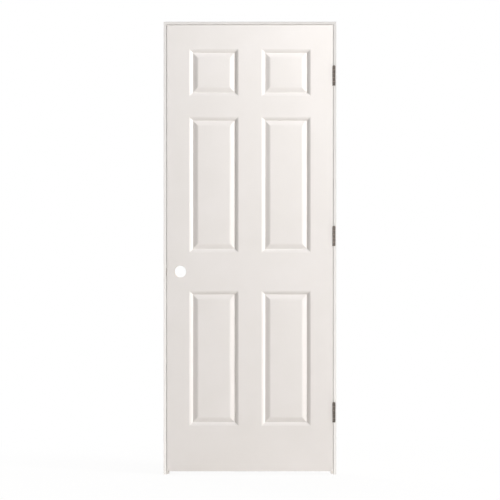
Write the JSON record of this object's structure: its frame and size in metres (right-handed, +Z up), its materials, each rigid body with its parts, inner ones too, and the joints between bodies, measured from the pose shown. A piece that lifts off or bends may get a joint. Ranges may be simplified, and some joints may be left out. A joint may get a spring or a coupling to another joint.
{
  "type": "panelled door in its frame",
  "caption": "Moulded door with raised panels, hung on butt hinges in a primed jamb frame with stops, bored for a cylindrical lockset and its latch.",
  "frame": {"origin": "floor level, in the middle of the frame's width and of the jambs' depth", "axes": "+Z up, +X towards the hinge side, -Y towards the side that the door opens to and that shows its hinge knuckles"},
  "size_m": [0.786, 0.1304, 2.062],
  "materials": {
    "primed_wood": "factory white primer, matte",
    "primed_facing": "factory white primer on pressed fibreboard, matte",
    "bare_pine": "bare sawn softwood",
    "kraft_paper": "plain brown paper",
    "dark_bronze": "dark bronze plating, satin",
    "bright_steel": "plain wire nails"
  },
  "bodies": {
    "frame": {"strike_jamb": "primed_wood", "hinge_jamb": "primed_wood", "head_jamb": "primed_wood", "strike_stop": "primed_wood", "hinge_stop": "primed_wood", "head_stop": "primed_wood", "corner_nails": "bright_steel", "stop_brads": "bright_steel", "top_hinge_frame_leaf": "dark_bronze", "middle_hinge_frame_leaf": "dark_bronze", "bottom_hinge_frame_leaf": "dark_bronze", "top_hinge_pin": "dark_bronze", "middle_hinge_pin": "dark_bronze", "bottom_hinge_pin": "dark_bronze", "frame_leaf_screws": "dark_bronze"},
    "door": {"front_facing": "primed_facing", "rear_facing": "primed_facing", "lock_stile": "bare_pine", "hinge_stile": "bare_pine", "top_rail": "bare_pine", "bottom_rail": "bare_pine", "lock_block": "bare_pine", "honeycomb_core": "kraft_paper", "top_hinge_door_leaf": "dark_bronze", "middle_hinge_door_leaf": "dark_bronze", "bottom_hinge_door_leaf": "dark_bronze", "door_leaf_screws": "dark_bronze"}
  },
  "joints": [
    {"name": "door_swing", "type": "hinge", "parent": "frame", "child": "door", "pos_m": [0.3816, -0.066, 1.085], "axis": [0, 0, 1], "range_deg": [0, 175]}
  ]
}
